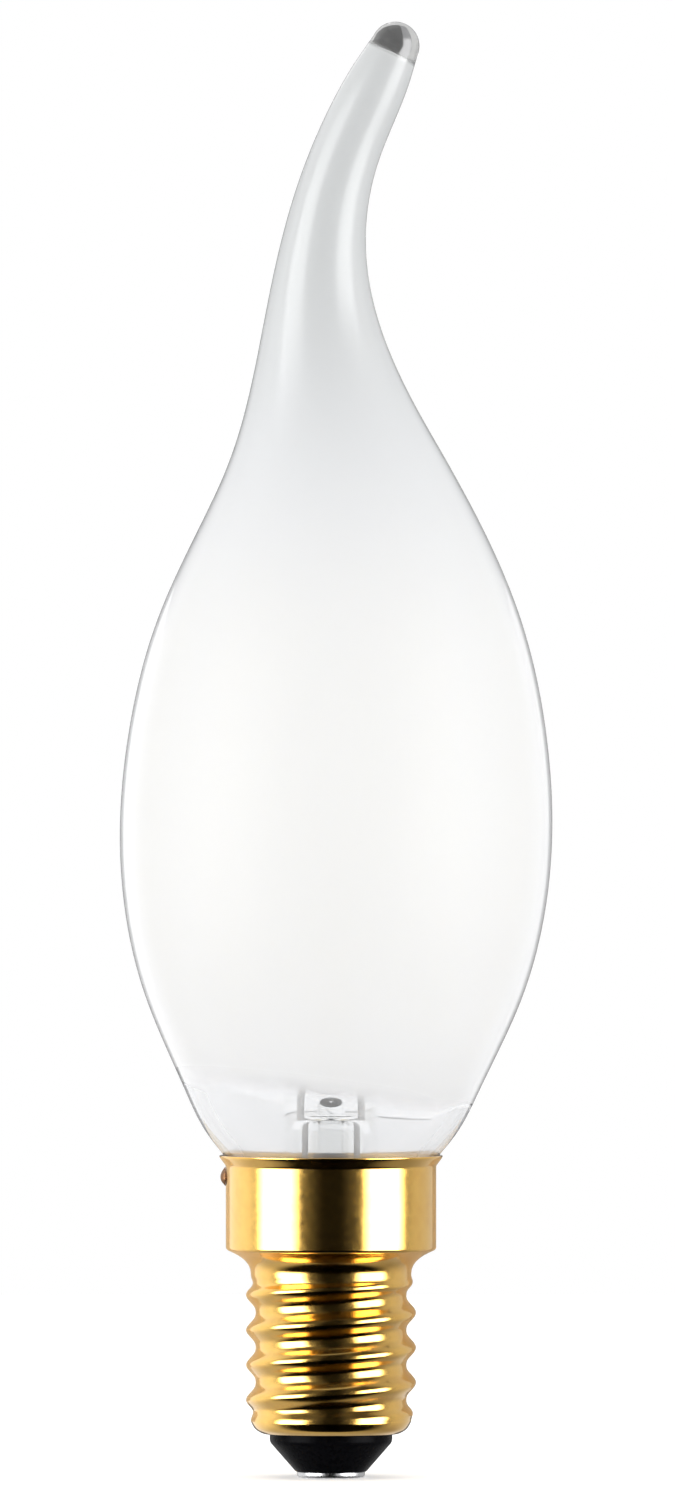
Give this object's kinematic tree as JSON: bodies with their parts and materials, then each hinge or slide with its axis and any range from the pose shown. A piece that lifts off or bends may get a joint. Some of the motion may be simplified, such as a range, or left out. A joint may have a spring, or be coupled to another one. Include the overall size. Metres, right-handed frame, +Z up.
{
  "type": "candle bulb",
  "caption": "Frosted candle-shaped LED filament bulb with a clear neck, a drawn and bent flame tip, and a small gold screw base with a black insulator and centre contact.",
  "frame": {"origin": "middle of the flat face of the centre contact, on the axis of the screw cap", "axes": "+Z up along the cap axis from the contact to the tip, +X to the side the tip bends to, -Y to the viewer of the picture"},
  "size_m": [0.035, 0.035, 0.1176],
  "materials": {
    "frosted_glass": "inside frosted, glossy outside",
    "clear_glass": "clear",
    "phosphor": "matte silicone",
    "nickel": "plain",
    "gold_brass": "polished",
    "weld_bronze": "dull",
    "black_vitrite": "satin",
    "tinned_metal": "bright",
    "cement": "matte",
    "board_green": "satin",
    "chip_black": "matte",
    "can_aluminium": "satin",
    "copper_wire": "plain"
  },
  "bodies": {
    "root": {"glass_envelope": "frosted_glass", "stem": "clear_glass", "exhaust_tube": "clear_glass", "glass_rod": "clear_glass", "led_filament_1": "phosphor", "led_filament_2": "phosphor", "led_filament_3": "phosphor", "led_filament_4": "phosphor", "filament_tabs": "nickel", "head_strip_1": "nickel", "head_strip_2": "nickel", "foot_support_left": "nickel", "foot_support_right": "nickel", "lead_wire_left": "nickel", "lead_wire_right": "nickel", "screw_shell": "gold_brass", "side_weld": "weld_bronze", "insulator": "black_vitrite", "contact_plate": "tinned_metal", "contact_solder": "tinned_metal", "cap_cement": "cement", "driver_board": "board_green", "rectifier": "chip_black", "driver_chip": "chip_black", "fuse_resistor": "chip_black", "capacitor": "can_aluminium", "live_wire": "copper_wire", "shell_wire": "copper_wire"}
  },
  "joints": []
}
